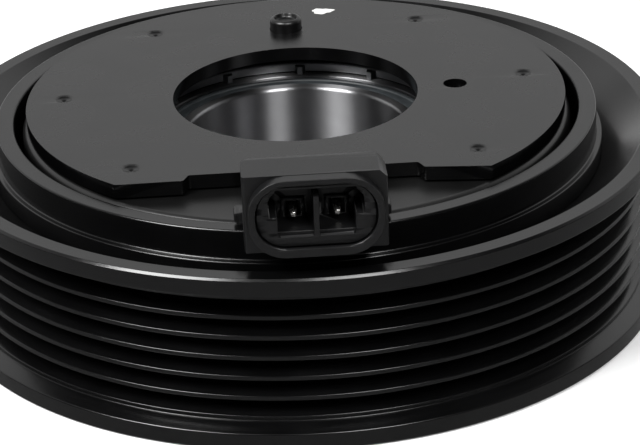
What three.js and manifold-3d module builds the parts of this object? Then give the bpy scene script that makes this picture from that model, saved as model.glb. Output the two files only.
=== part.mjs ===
// Electromagnetic clutch of a car's air-conditioning compressor, in millimetres, +Z up.
// It stands on the front flange of its pulley, with the field coil's mounting plate and the
// two-pin connector on top. The origin is on the axis, at the foot; the connector faces -Y.
import * as THREE from 'three';
import { mergeVertices } from 'three/addons/utils/BufferGeometryUtils.js';
import Module from 'manifold-3d';

const wasm = await Module();
wasm.setup();

// ---- Driving dimensions ----
const TURN_SEGMENTS = 36; // facets round a large turned piece
const COIL_SEGMENTS = 32; // facets round the pieces inside the coil
const ROUND_SEGMENTS = 12; // facets round a rivet, pin or hole
const MARK_SEGMENTS = 8; // facets round a stake mark
const TOUCH_GAP = 0.3; // left between two pieces that are fixed together
const FIT_GAP = 0.1; // left between a bearing ring and its seat

// Belt rim, for a six-rib PK belt
const RIM_WIDTH = 30.2;
const FLANGE_RADIUS = 63.3;
const CREST_RADIUS = 60.5;
const GROOVE_PITCH = 3.56;
const GROOVE_COUNT = 6;
const GROOVE_DEPTH = 3.3;
const CREST_WIDTH = 0.7;
const FIRST_CREST_Z = 4.4;
const FLANK_SLOPE = Math.tan(THREE.MathUtils.degToRad(20));
const FLANGE_EDGE = 0.4; // bevel round the outside of each flange
const REAR_MOUTH_RADIUS = 60.2; // inner edge of the rim's rear face
const FRONT_MOUTH_RADIUS = 59.8;
const MOUTH_DEPTH = 5.4; // of the cone behind the rear face
const CHANNEL_RADIUS = 54.9; // inner wall of the rim, in front of the rotor

// Rotor: inner pole, friction disc and outer pole in one piece
const ROTOR_FRONT_Z = 9.2;
const DISC_THICKNESS = 5;
const ROTOR_RADIUS = 53;
const ROTOR_REAR_RADIUS = 52;
const ROTOR_REAR_Z = 33.1;
const ROTOR_STEP_Z = 28;
const OUTER_POLE_BORE = 48.6;
const INNER_POLE_RADIUS = 30.8;
const INNER_POLE_Z = 29.4;
const STAKE_RADIUS = 26.3; // lip that holds the bearing in
const SLOTS_PER_RING = 4;
const INNER_SLOT = { from: 35.5, to: 37.5 };
const OUTER_SLOT = { from: 43, to: 45 };
const DISC_Z = ROTOR_FRONT_Z + DISC_THICKNESS;

// Bearing, 38 x 54 x 17
const BEARING_BORE_RADIUS = 19;
const BEARING_RADIUS = 27;
const BEARING_WIDTH = 17;
const BEARING_FRONT_Z = 11.2;
const INNER_RING_RADIUS = 21.2;
const OUTER_RING_BORE = 24.8;
const BORE_CHAMFER = 0.6;
const BALL_COUNT = 16;
const BALL_RADIUS = 2.5;
const BALL_PITCH_RADIUS = 23;
const RACE_CLEARANCE = 0.2;
const RACE_HALF_WIDTH = 2.2;
const RACE_FLOOR_HALF_WIDTH = 1;
const SEAL_THICKNESS = 0.7;
const SEAL_RECESS = 0.4;
const BALL_Z = BEARING_FRONT_Z + BEARING_WIDTH / 2;
const BEARING_REAR_Z = BEARING_FRONT_Z + BEARING_WIDTH;

// Field coil
const SHELL_RADIUS = 47.5;
const SHELL_BORE = 31.3;
const SHELL_WALL = 1.7;
const SHELL_FRONT_Z = 14.7;
const SHELL_REAR_Z = 32.3;
const SHELL_CORNER = 1.3;
const BOBBIN = { inner: 33.3, outer: 45.4, front: 16.2, rear: 30.2, wall: 1 };
const WINDING = { inner: 34.6, outer: 43.6, front: 17.5, rear: 28.9 };
const POTTING = { inner: 33.3, outer: 45.4, front: 14.9, rear: 15.9 };

// Mounting plate
const PLATE_REAR_Z = 35.1;
const PLATE_THICKNESS = 2.4;
const PLATE_RADIUS = 46.75;
const PLATE_BORE = 21.24;
const CHORD_Y = -34.8; // straight cut on the connector's side
const CHORD_DROP = 1.1; // by which the cut slants out towards +X
const NOTCH = { left: -19.2, right: 18.2, run: 0.9, y: -32.7 }; // behind the connector
const STAKE_MARK = { ring: 40.3, radius: 1.7, depth: 0.35, pitRadius: 0.55, pitDepth: 0.8 };
const STAKE_MARK_ANGLES = [36.6, 85.6, 135]; // degrees each side of +Y
const BREATHER = { x: 27.85, radius: 2.05 };
const PIN = { y: 31.4, radius: 2.9, top: 37.3, dish: 1.9, dishDepth: 0.8 };
const PLATE_FRONT_Z = PLATE_REAR_Z - PLATE_THICKNESS;

// Connector
const CONNECTOR_Z = 39.9; // middle of the shroud
const BLOCK = { halfWidth: 11.1, back: -53, front: -60.3, low: 33.7, high: 46.4, corner: 1.2 };
const SHOULDER = 1.2; // bevel along the block's top, on its +X side
const SHROUD = { width: 20.9, height: 12.9, corner: 5.7, front: -62.4 };
const GROOVE_RING = { outer: 1.1, width: 0.35, depth: 0.9 }; // seam round the inner liner
const LINER_RECESS = 0.7;
const SOCKET = {
  divider: 0.4, // half the wall between the sockets
  halfWidth: 6,
  keyWidth: 7.4,
  low: -3.25,
  keyLow: 0.1,
  high: 4.6,
  corner: 1.6,
  back: -55.2,
};
const ARM = { halfWidth: 10.8, back: -33.2, low: 32.7, step: -47, high: 36.8 };
const LUG = { halfWidth: 12.4, from: -49.4, to: -46.4, high: 35.6 };
const TERMINAL = { x: 3.4, z: 38.7, width: 1.4, tip: -58, leg: -54.2, foot: 36.2 };
const LEAD = { width: 1.2, z: 35.1, end: -38.5, foot: 29.3 };
const CHANNEL_GAP = 0.25; // round a terminal or lead in its channel

// Hub and armature
const PULL_IN = 0.5; // travel of the armature
const AIR_GAP = PULL_IN + 0.05; // between the armature and the rotor at rest
const HUB = { radius: 12.5, front: 1.6, rear: 10.4, plateRear: 4.1 };
const SPLINE = { teeth: 18, inner: 6.2, outer: 6.9 };
const HUB_LOBE = { ring: 28, radius: 6, waist: 20 };
const ARM_COUNT = 3;
const LEAF = { front: 4.4, rear: 4.8, halfWidth: 4.6, sweep: 52, holeRadius: 2 };
const ARMATURE = { inner: 22, outer: 51.5, front: 5.1 };
const ARMATURE_RIVET_RING = 42;
const ARMATURE_SLOT = { from: 38.6, to: 40.4 };
const RIVET = { shank: 1.7, head: 3, headHeight: 0.9 };
const ARMATURE_REAR_Z = ROTOR_FRONT_Z - AIR_GAP;

// ---- Finishes ----
const finish = (color, roughness, metalness) =>
  new THREE.MeshStandardMaterial({ color, roughness, metalness });
const BLACK_COAT = finish(0x17181a, 0.35, 0.3);
const BRIGHT_STEEL = finish(0xb9bbbd, 0.25, 1);
const GREY_STEEL = finish(0x6f7174, 0.4, 0.9);
const SPRING_STEEL = finish(0x8c8a84, 0.35, 1);
const BLACK_RUBBER = finish(0x111214, 0.8, 0);
const DARK_PLASTIC = finish(0x26272a, 0.6, 0);
const PALE_PLASTIC = finish(0xb7ab8c, 0.6, 0);
const COPPER = finish(0xb06a3c, 0.35, 1);
const TIN = finish(0xc9c9c6, 0.3, 1);

const clutch = new THREE.Group();

function place(name, geometry, material) {
  const mesh = new THREE.Mesh(geometry, material);
  mesh.name = name;
  clutch.add(mesh);
  return mesh;
}

// ---- Shape helpers ----
const radians = THREE.MathUtils.degToRad;

// A ring turned about Z from [radius, height] points listed anticlockwise.
function turned(profile, segments = TURN_SEGMENTS) {
  const points = [...profile, profile[0]].map(([r, z]) => new THREE.Vector2(r, z));
  return new THREE.LatheGeometry(points, segments).rotateX(Math.PI / 2);
}

const band = ({ inner, outer, front, rear }, segments) =>
  turned([[inner, front], [outer, front], [outer, rear], [inner, rear]], segments);

// A peg turned about its own axis, from [radius, height] points that start and end on it.
function peg(profile, x, y, segments = ROUND_SEGMENTS) {
  const points = profile.map(([r, z]) => new THREE.Vector2(r, z));
  return new THREE.LatheGeometry(points, segments).rotateX(Math.PI / 2).translate(x, y, 0);
}

const rod = (radius, low, high, x, y, segments) =>
  peg([[0, low], [radius, low], [radius, high], [0, high]], x, y, segments);

// A box from its lowest to its highest corner.
function block(low, high) {
  const size = high.map((value, axis) => value - low[axis]);
  const middle = high.map((value, axis) => (value + low[axis]) / 2);
  return new THREE.BoxGeometry(...size).translate(...middle);
}

// A plate with a flat outline, from one height to another.
function plate(shape, low, high) {
  const settings = { depth: high - low, bevelEnabled: false };
  return new THREE.ExtrudeGeometry(shape, settings).translate(0, 0, low);
}

// An outline in X and Z, carried along Y from the back to the front.
function forward(shape, back, front) {
  const settings = { depth: back - front, bevelEnabled: false };
  return new THREE.ExtrudeGeometry(shape, settings).rotateX(Math.PI / 2).translate(0, back, 0);
}

function arcPoints(radius, from, to, steps, x = 0, y = 0) {
  return Array.from({ length: steps + 1 }, (_, i) => {
    const angle = from + ((to - from) * i) / steps;
    return new THREE.Vector2(x + radius * Math.cos(angle), y + radius * Math.sin(angle));
  });
}

const circle = (radius, steps, x, y) =>
  arcPoints(radius, 0, 2 * Math.PI * (1 - 1 / steps), steps - 1, x, y);

const polar = (radius, angle) => [radius * Math.cos(angle), radius * Math.sin(angle)];

// A slot that follows a circle, for cutting through a disc.
function arcSlot({ from, to }, start, end, low, high, steps = 6) {
  const outline = [...arcPoints(to, start, end, steps), ...arcPoints(from, end, start, steps)];
  return plate(new THREE.Shape(outline), low, high);
}

// ---- Cutting and joining ----
function solid(geometry) {
  const bare = geometry.clone();
  bare.deleteAttribute('normal');
  bare.deleteAttribute('uv');
  const merged = mergeVertices(bare, 1e-3);
  return new wasm.Manifold(new wasm.Mesh({
    numProp: 3,
    vertProperties: merged.attributes.position.array,
    triVerts: new Uint32Array(merged.index.array),
  }));
}

function geometryOf(manifold) {
  const { vertProperties, triVerts } = manifold.getMesh();
  const geometry = new THREE.BufferGeometry();
  geometry.setAttribute('position', new THREE.BufferAttribute(vertProperties, 3));
  geometry.setIndex(new THREE.BufferAttribute(triVerts, 1));
  geometry.computeVertexNormals();
  return geometry;
}

const joined = (parts) => parts.map(solid).reduce((whole, part) => whole.add(part));
const without = (body, cuts) =>
  geometryOf(cuts.reduce((rest, cut) => rest.subtract(solid(cut)), body));

// ---- Pulley ----
function rimProfile() {
  const half = CREST_WIDTH / 2;
  const floor = GROOVE_PITCH / 2 - half - GROOVE_DEPTH * FLANK_SLOPE;
  const flank = (FLANGE_RADIUS - CREST_RADIUS) * FLANK_SLOPE;
  const lastCrest = FIRST_CREST_Z + GROOVE_PITCH * GROOVE_COUNT;
  const grooveRadius = CREST_RADIUS - GROOVE_DEPTH;
  const seat = ROTOR_RADIUS + TOUCH_GAP;
  const points = [
    [FLANGE_RADIUS - FLANGE_EDGE, 0],
    [FLANGE_RADIUS, FLANGE_EDGE],
    [FLANGE_RADIUS, FIRST_CREST_Z - half - flank],
    [CREST_RADIUS, FIRST_CREST_Z - half],
  ];
  for (let groove = 0; groove < GROOVE_COUNT; groove += 1) {
    const start = FIRST_CREST_Z + GROOVE_PITCH * groove;
    const middle = start + GROOVE_PITCH / 2;
    points.push(
      [CREST_RADIUS, start + half],
      [grooveRadius, middle - floor],
      [grooveRadius, middle + floor],
      [CREST_RADIUS, start + GROOVE_PITCH - half],
    );
  }
  points.push(
    [CREST_RADIUS, lastCrest + half],
    [FLANGE_RADIUS, lastCrest + half + flank],
    [FLANGE_RADIUS, RIM_WIDTH - FLANGE_EDGE],
    [FLANGE_RADIUS - FLANGE_EDGE, RIM_WIDTH],
    [REAR_MOUTH_RADIUS, RIM_WIDTH],
    [seat, RIM_WIDTH - MOUTH_DEPTH],
    [seat, ROTOR_FRONT_Z + 1],
    [CHANNEL_RADIUS, ROTOR_FRONT_Z],
    [CHANNEL_RADIUS, 5],
    [FRONT_MOUTH_RADIUS, 0],
  );
  return points;
}

function rotor() {
  const bearingSeat = BEARING_RADIUS + FIT_GAP;
  const shoulder = BEARING_FRONT_Z - FIT_GAP;
  const body = turned([
    [OUTER_RING_BORE + 0.8, ROTOR_FRONT_Z],
    [ROTOR_RADIUS, ROTOR_FRONT_Z],
    [ROTOR_RADIUS, ROTOR_STEP_Z - 0.4],
    [ROTOR_REAR_RADIUS, ROTOR_STEP_Z],
    [ROTOR_REAR_RADIUS, ROTOR_REAR_Z - 0.3],
    [ROTOR_REAR_RADIUS - 0.3, ROTOR_REAR_Z],
    [OUTER_POLE_BORE + 0.8, ROTOR_REAR_Z],
    [OUTER_POLE_BORE, ROTOR_REAR_Z - 0.8],
    [OUTER_POLE_BORE, DISC_Z],
    [INNER_POLE_RADIUS, DISC_Z],
    [INNER_POLE_RADIUS, INNER_POLE_Z],
    [STAKE_RADIUS, INNER_POLE_Z],
    [STAKE_RADIUS, BEARING_REAR_Z + TOUCH_GAP],
    [bearingSeat, BEARING_REAR_Z + TOUCH_GAP],
    [bearingSeat, shoulder],
    [OUTER_RING_BORE + 0.8, shoulder],
  ]);
  const step = (2 * Math.PI) / SLOTS_PER_RING;
  const bridge = radians(14);
  const cuts = [INNER_SLOT, OUTER_SLOT].flatMap((ring, row) =>
    Array.from({ length: SLOTS_PER_RING }, (_, i) => {
      const start = step * (i + row / 2);
      return arcSlot(ring, start + bridge, start + step - bridge, ROTOR_FRONT_Z - 1, DISC_Z + 1);
    }));
  return without(solid(body), cuts);
}

// ---- Bearing ----
function innerRingProfile() {
  const floor = BALL_PITCH_RADIUS - BALL_RADIUS - RACE_CLEARANCE;
  return [
    [BEARING_BORE_RADIUS, BEARING_FRONT_Z + BORE_CHAMFER],
    [BEARING_BORE_RADIUS + BORE_CHAMFER, BEARING_FRONT_Z],
    [INNER_RING_RADIUS, BEARING_FRONT_Z],
    [INNER_RING_RADIUS, BALL_Z - RACE_HALF_WIDTH],
    [floor, BALL_Z - RACE_FLOOR_HALF_WIDTH],
    [floor, BALL_Z + RACE_FLOOR_HALF_WIDTH],
    [INNER_RING_RADIUS, BALL_Z + RACE_HALF_WIDTH],
    [INNER_RING_RADIUS, BEARING_REAR_Z],
    [BEARING_BORE_RADIUS + BORE_CHAMFER, BEARING_REAR_Z],
    [BEARING_BORE_RADIUS, BEARING_REAR_Z - BORE_CHAMFER],
  ];
}

function outerRingProfile() {
  const floor = BALL_PITCH_RADIUS + BALL_RADIUS + RACE_CLEARANCE;
  return [
    [OUTER_RING_BORE, BEARING_FRONT_Z],
    [BEARING_RADIUS, BEARING_FRONT_Z],
    [BEARING_RADIUS, BEARING_REAR_Z],
    [OUTER_RING_BORE, BEARING_REAR_Z],
    [OUTER_RING_BORE, BALL_Z + RACE_HALF_WIDTH],
    [floor, BALL_Z + RACE_FLOOR_HALF_WIDTH],
    [floor, BALL_Z - RACE_FLOOR_HALF_WIDTH],
    [OUTER_RING_BORE, BALL_Z - RACE_HALF_WIDTH],
  ];
}

function seal(front) {
  const inner = INNER_RING_RADIUS + TOUCH_GAP;
  const outer = OUTER_RING_BORE - 0.2;
  return band({ inner, outer, front, rear: front + SEAL_THICKNESS });
}

const ballAngle = (index) => (2 * Math.PI * index) / BALL_COUNT;

// A crown: a ring behind the balls, with a finger between each two.
function cage() {
  const side = 0.9; // half the ring's radial width
  const ring = band({
    inner: BALL_PITCH_RADIUS - side,
    outer: BALL_PITCH_RADIUS + side,
    front: BALL_Z + BALL_RADIUS + 0.2,
    rear: BALL_Z + BALL_RADIUS + 1.1,
  }, COIL_SEGMENTS);
  const fingers = Array.from({ length: BALL_COUNT }, (_, i) => {
    const low = [BALL_PITCH_RADIUS - side + 0.15, -1.2, BALL_Z - 1.5];
    const high = [BALL_PITCH_RADIUS + side - 0.15, 1.2, BALL_Z + BALL_RADIUS + 0.6];
    return block(low, high).rotateZ(ballAngle(i + 0.5));
  });
  return geometryOf(joined([ring, ...fingers]));
}

// ---- Field coil ----
const leadHoles = (halfWidth) => [-1, 1].map((side) => {
  const x = side * TERMINAL.x;
  return block(
    [x - halfWidth, LEAD.end - halfWidth, LEAD.foot - 1],
    [x + halfWidth, LEAD.end + halfWidth, SHELL_REAR_Z + 1],
  );
});

function coilShell() {
  const body = turned([
    [SHELL_BORE, SHELL_FRONT_Z],
    [SHELL_BORE + SHELL_WALL, SHELL_FRONT_Z],
    [SHELL_BORE + SHELL_WALL, SHELL_REAR_Z - SHELL_WALL],
    [SHELL_RADIUS - SHELL_WALL, SHELL_REAR_Z - SHELL_WALL],
    [SHELL_RADIUS - SHELL_WALL, SHELL_FRONT_Z],
    [SHELL_RADIUS, SHELL_FRONT_Z],
    [SHELL_RADIUS, SHELL_REAR_Z - SHELL_CORNER],
    [SHELL_RADIUS - SHELL_CORNER / 3, SHELL_REAR_Z - SHELL_CORNER / 3],
    [SHELL_RADIUS - SHELL_CORNER, SHELL_REAR_Z],
    [SHELL_BORE + SHELL_CORNER / 2, SHELL_REAR_Z],
    [SHELL_BORE, SHELL_REAR_Z - SHELL_CORNER / 2],
  ]);
  return without(solid(body), leadHoles(LEAD.width));
}

function bobbin() {
  const { inner, outer, front, rear, wall } = BOBBIN;
  const body = turned([
    [inner, front], [outer, front], [outer, front + wall], [inner + wall, front + wall],
    [inner + wall, rear - wall], [outer, rear - wall], [outer, rear], [inner, rear],
  ], COIL_SEGMENTS);
  return without(solid(body), leadHoles(LEAD.width));
}

// The plate's outline: a disc with a straight cut at the connector and a notch in it.
function plateOutline() {
  const { left, right, run, y } = NOTCH;
  const leftAngle = Math.PI - Math.asin(CHORD_Y / PLATE_RADIUS);
  const rightAngle = Math.asin((CHORD_Y - CHORD_DROP) / PLATE_RADIUS);
  const rim = arcPoints(PLATE_RADIUS, rightAngle, leftAngle, TURN_SEGMENTS);
  const notch = [
    new THREE.Vector2(left - run, CHORD_Y),
    new THREE.Vector2(left, y),
    new THREE.Vector2(right, y),
    new THREE.Vector2(right + run, CHORD_Y),
  ];
  const shape = new THREE.Shape([...rim, ...notch]);
  shape.holes.push(
    new THREE.Path(circle(PLATE_BORE, TURN_SEGMENTS)),
    new THREE.Path(circle(BREATHER.radius, ROUND_SEGMENTS, BREATHER.x, 0)),
    new THREE.Path(circle(PIN.radius + TOUCH_GAP, ROUND_SEGMENTS, 0, PIN.y)),
  );
  return shape;
}

function mountingPlate() {
  const { ring, radius, depth, pitRadius, pitDepth } = STAKE_MARK;
  const cuts = STAKE_MARK_ANGLES.flatMap((angle) => [-1, 1].flatMap((side) => {
    const turn = side * radians(angle);
    const spot = [ring * Math.sin(turn), ring * Math.cos(turn)];
    return [
      rod(radius, PLATE_REAR_Z - depth, PLATE_REAR_Z + 1, ...spot, MARK_SEGMENTS),
      rod(pitRadius, PLATE_REAR_Z - pitDepth, PLATE_REAR_Z + 1, ...spot, MARK_SEGMENTS),
    ];
  }));
  return without(solid(plate(plateOutline(), PLATE_FRONT_Z, PLATE_REAR_Z)), cuts);
}

function locatingPin() {
  const { y, radius, top, dish, dishDepth } = PIN;
  const bevel = 0.4;
  return peg([
    [0, PLATE_FRONT_Z + FIT_GAP], [radius, PLATE_FRONT_Z + FIT_GAP], [radius, top - bevel],
    [radius - bevel, top], [dish, top], [dish, top - dishDepth], [0, top - dishDepth],
  ], 0, y);
}

// ---- Connector ----
function roundedOutline(width, height, corner, z) {
  const x = width / 2 - corner;
  const y = height / 2 - corner;
  const corners = [[x, -y, -90], [x, y, 0], [-x, y, 90], [-x, -y, 180]];
  return corners.flatMap(([cx, cy, start]) =>
    arcPoints(corner, radians(start), radians(start + 90), 5, cx, cy + z));
}

// The right-hand socket's outline, wider over its key; the left one mirrors it.
function socketOutline(side) {
  const { divider, halfWidth, keyWidth, low, keyLow, high, corner } = SOCKET;
  const points = [
    [divider, low], [halfWidth, low], [halfWidth, keyLow], [keyWidth, keyLow],
    [keyWidth, high - corner], [keyWidth - corner, high], [divider, high],
  ];
  return new THREE.Shape(points.map(([x, z]) => new THREE.Vector2(side * x, CONNECTOR_Z + z)));
}

// An L of square bar in a plane of constant X, grown all round by a gap.
function bentBar(x, width, run, leg, gap = 0) {
  const half = width / 2 + gap;
  const level = block(
    [x - half, run.from - gap, run.z - half],
    [x + half, run.to + half, run.z + half],
  );
  const upright = block(
    [x - half, run.to - half, leg.foot - gap],
    [x + half, run.to + half, run.z + half],
  );
  return joined([level, upright]);
}

const terminal = (side, gap) => bentBar(
  side * TERMINAL.x,
  TERMINAL.width,
  { from: TERMINAL.tip, to: TERMINAL.leg, z: TERMINAL.z },
  { foot: TERMINAL.foot },
  gap,
);

const lead = (side, gap) => bentBar(
  side * TERMINAL.x,
  LEAD.width,
  { from: TERMINAL.leg - TERMINAL.width / 2, to: LEAD.end, z: LEAD.z },
  { foot: LEAD.foot },
  gap,
);

function connectorHousing() {
  const { halfWidth, back, front, low, high, corner } = BLOCK;
  const head = new THREE.Shape([
    new THREE.Vector2(-halfWidth, front),
    new THREE.Vector2(halfWidth, front),
    new THREE.Vector2(halfWidth, back - corner),
    new THREE.Vector2(halfWidth - corner, back),
    new THREE.Vector2(corner - halfWidth, back),
    new THREE.Vector2(-halfWidth, back - corner),
  ]);
  const shroud = new THREE.Shape(
    roundedOutline(SHROUD.width, SHROUD.height, SHROUD.corner, CONNECTOR_Z));
  let body = joined([
    plate(head, low, high),
    forward(shroud, front + 1, SHROUD.front),
    block([-ARM.halfWidth, ARM.step, ARM.low], [ARM.halfWidth, ARM.back, ARM.high]),
    block([-ARM.halfWidth, back - 1, low], [ARM.halfWidth, ARM.step + 1, ARM.high]),
    block([-LUG.halfWidth, LUG.from, low], [LUG.halfWidth, LUG.to, LUG.high]),
  ]);
  const shoulder = new THREE.Shape([
    new THREE.Vector2(halfWidth - SHOULDER, high),
    new THREE.Vector2(halfWidth, high - SHOULDER),
    new THREE.Vector2(halfWidth + SHOULDER, high),
    new THREE.Vector2(halfWidth, high + SHOULDER),
  ]);
  const inset = (distance) => roundedOutline(
    SHROUD.width - 2 * distance,
    SHROUD.height - 2 * distance,
    SHROUD.corner - distance,
    CONNECTOR_Z,
  );
  const seam = new THREE.Shape(inset(GROOVE_RING.outer));
  seam.holes.push(new THREE.Path(inset(GROOVE_RING.outer + GROOVE_RING.width)));
  const mouth = new THREE.Shape(inset(GROOVE_RING.outer));
  const seamBack = SHROUD.front + LINER_RECESS + GROOVE_RING.depth;
  const cuts = [
    forward(shoulder, back + 1, front - 1),
    forward(mouth, SHROUD.front + LINER_RECESS, SHROUD.front - 1),
    forward(seam, seamBack, SHROUD.front - 1),
  ];
  for (const side of [-1, 1])
    cuts.push(forward(socketOutline(side), SOCKET.back, SHROUD.front - 1));
  for (const cut of cuts) body = body.subtract(solid(cut));
  for (const side of [-1, 1])
    body = body.subtract(terminal(side, CHANNEL_GAP)).subtract(lead(side, CHANNEL_GAP));
  return geometryOf(body);
}

// ---- Hub and armature ----
const armAngle = (index) => (2 * Math.PI * index) / ARM_COUNT + Math.PI / 2;
const leafEndAngle = (index) => armAngle(index) + radians(LEAF.sweep);

function hubBoss() {
  const { teeth, inner, outer } = SPLINE;
  const shape = new THREE.Shape(circle(HUB.radius, COIL_SEGMENTS));
  const tooth = (2 * Math.PI) / teeth;
  const spline = Array.from({ length: teeth }, (_, i) => [
    ...arcPoints(outer, tooth * i, tooth * (i + 0.4), 1),
    ...arcPoints(inner, tooth * (i + 0.5), tooth * (i + 0.9), 1),
  ]).flat();
  shape.holes.push(new THREE.Path(spline));
  return plate(shape, HUB.front, HUB.rear);
}

function hubPlate() {
  const outline = Array.from({ length: ARM_COUNT }, (_, i) => {
    const [x, y] = polar(HUB_LOBE.ring, armAngle(i));
    const lobe = arcPoints(HUB_LOBE.radius, armAngle(i) - 1.4, armAngle(i) + 1.4, 8, x, y);
    const waist = armAngle(i) + Math.PI / ARM_COUNT;
    return [...lobe, ...arcPoints(HUB_LOBE.waist, waist - 0.25, waist + 0.25, 3)];
  }).flat();
  const shape = new THREE.Shape(outline);
  shape.holes.push(new THREE.Path(circle(HUB.radius + TOUCH_GAP, COIL_SEGMENTS)));
  for (let i = 0; i < ARM_COUNT; i += 1) {
    const [x, y] = polar(HUB_LOBE.ring, armAngle(i));
    shape.holes.push(new THREE.Path(circle(LEAF.holeRadius, ROUND_SEGMENTS, x, y)));
  }
  return plate(shape, HUB.front, HUB.plateRear);
}

function leafSpring(index) {
  const near = polar(HUB_LOBE.ring, armAngle(index));
  const far = polar(ARMATURE_RIVET_RING, leafEndAngle(index));
  const heading = Math.atan2(far[1] - near[1], far[0] - near[0]);
  const quarter = Math.PI / 2;
  const shape = new THREE.Shape([
    ...arcPoints(LEAF.halfWidth, heading - quarter, heading + quarter, 6, ...far),
    ...arcPoints(LEAF.halfWidth, heading + quarter, heading + 3 * quarter, 6, ...near),
  ]);
  for (const end of [near, far])
    shape.holes.push(new THREE.Path(circle(LEAF.holeRadius, ROUND_SEGMENTS, ...end)));
  return plate(shape, LEAF.front, LEAF.rear);
}

// A rivet with a head at each end of its shank.
function rivet(lowHead, highHead, angle, ring) {
  const { shank, head, headHeight } = RIVET;
  return peg([
    [0, lowHead - headHeight], [head - 0.6, lowHead - headHeight], [head, lowHead - 0.3],
    [head, lowHead], [shank, lowHead], [shank, highHead], [head - 0.2, highHead],
    [head - 0.2, highHead + headHeight], [0, highHead + headHeight],
  ], ...polar(ring, angle));
}

function armaturePlate() {
  const shape = new THREE.Shape(circle(ARMATURE.outer, TURN_SEGMENTS));
  shape.holes.push(new THREE.Path(circle(ARMATURE.inner, COIL_SEGMENTS)));
  const cuts = [];
  for (let i = 0; i < ARM_COUNT; i += 1) {
    const end = leafEndAngle(i);
    const hubHole = polar(HUB_LOBE.ring, armAngle(i));
    const rivetHole = polar(ARMATURE_RIVET_RING, end);
    const sinkZ = ARMATURE_REAR_Z - RIVET.headHeight - 0.4;
    cuts.push(
      rod(RIVET.head + 0.6, ARMATURE.front - 1, ARMATURE_REAR_Z + 1, ...hubHole),
      rod(LEAF.holeRadius, ARMATURE.front - 1, ARMATURE_REAR_Z + 1, ...rivetHole),
      rod(RIVET.head + 0.1, sinkZ, ARMATURE_REAR_Z + 1, ...rivetHole),
      arcSlot(ARMATURE_SLOT, end + 0.3, end + 1.7, ARMATURE.front - 1, ARMATURE_REAR_Z + 1),
    );
  }
  return without(solid(plate(shape, ARMATURE.front, ARMATURE_REAR_Z)), cuts);
}

// ---- The assembly ----
place('mounting_plate', mountingPlate(), BLACK_COAT);
place('coil_shell', coilShell(), BLACK_COAT);
place('coil_bobbin', bobbin(), PALE_PLASTIC);
place('coil_winding', band(WINDING, COIL_SEGMENTS), COPPER);
place('coil_potting', band(POTTING, COIL_SEGMENTS), DARK_PLASTIC);
place('locating_pin', locatingPin(), BLACK_COAT);
place('connector_housing', connectorHousing(), DARK_PLASTIC);
for (const [name, side] of [['left', -1], ['right', 1]]) {
  place(`connector_terminal_${name}`, geometryOf(terminal(side)), TIN);
  place(`coil_lead_${name}`, geometryOf(lead(side)), COPPER);
}

place('belt_rim', turned(rimProfile()), BLACK_COAT);
place('rotor', rotor(), BLACK_COAT);

place('bearing_inner_ring', turned(innerRingProfile()), BRIGHT_STEEL);
place('bearing_outer_ring', turned(outerRingProfile()), BRIGHT_STEEL);
place('bearing_seal_front', seal(BEARING_FRONT_Z + SEAL_RECESS), BLACK_RUBBER);
place('bearing_seal_rear', seal(BEARING_REAR_Z - SEAL_RECESS - SEAL_THICKNESS), BLACK_RUBBER);
place('bearing_cage', cage(), PALE_PLASTIC);
for (let i = 0; i < BALL_COUNT; i += 1) {
  const ball = new THREE.SphereGeometry(BALL_RADIUS, 8, 6);
  const name = `bearing_ball_${String(i + 1).padStart(2, '0')}`;
  place(name, ball, BRIGHT_STEEL).position.set(...polar(BALL_PITCH_RADIUS, ballAngle(i)), BALL_Z);
}

place('hub_boss', hubBoss(), GREY_STEEL);
place('hub_plate', hubPlate(), GREY_STEEL);
place('armature_plate', armaturePlate(), GREY_STEEL);
for (let i = 0; i < ARM_COUNT; i += 1) {
  const hubHead = HUB.front - TOUCH_GAP;
  const springHead = LEAF.rear + TOUCH_GAP;
  const sunkHead = ARMATURE_REAR_Z - RIVET.headHeight - 0.1;
  place(`leaf_spring_${i + 1}`, leafSpring(i), SPRING_STEEL);
  place(`hub_rivet_${i + 1}`, rivet(hubHead, springHead, armAngle(i), HUB_LOBE.ring), GREY_STEEL);
  place(
    `armature_rivet_${i + 1}`,
    rivet(LEAF.front - TOUCH_GAP, sunkHead, leafEndAngle(i), ARMATURE_RIVET_RING),
    GREY_STEEL,
  );
}

export default clutch;
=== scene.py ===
"""Studio view of a car air-conditioning clutch: belt pulley, bearing, field coil, armature and hub.

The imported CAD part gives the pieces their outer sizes, and the details inside them are set here.
Lengths are in millimetres down to the camera, and become metres when a mesh is made. The axis is
+Z and the connector faces -Y.
"""

import math

import bmesh
import bpy
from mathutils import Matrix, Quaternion, Vector
from mathutils.geometry import tessellate_polygon


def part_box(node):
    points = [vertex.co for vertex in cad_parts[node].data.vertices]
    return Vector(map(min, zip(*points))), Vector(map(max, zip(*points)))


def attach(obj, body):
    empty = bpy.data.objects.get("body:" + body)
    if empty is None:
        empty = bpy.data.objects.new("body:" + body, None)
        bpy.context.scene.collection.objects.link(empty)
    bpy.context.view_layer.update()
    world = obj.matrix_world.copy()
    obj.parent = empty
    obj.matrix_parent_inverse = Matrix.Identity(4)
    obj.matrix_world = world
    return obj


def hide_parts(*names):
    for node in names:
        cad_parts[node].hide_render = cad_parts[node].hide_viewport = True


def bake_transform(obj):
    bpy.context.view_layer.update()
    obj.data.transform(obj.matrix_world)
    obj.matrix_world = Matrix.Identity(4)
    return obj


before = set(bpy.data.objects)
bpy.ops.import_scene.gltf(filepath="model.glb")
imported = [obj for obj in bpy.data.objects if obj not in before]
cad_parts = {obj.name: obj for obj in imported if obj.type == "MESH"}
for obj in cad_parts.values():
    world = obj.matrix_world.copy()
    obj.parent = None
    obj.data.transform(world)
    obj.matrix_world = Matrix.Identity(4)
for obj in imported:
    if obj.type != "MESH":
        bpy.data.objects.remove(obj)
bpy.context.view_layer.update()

MM = 0.001
QUARTER = math.pi / 2
ROUND = 288  # facets round a large turned piece
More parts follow.
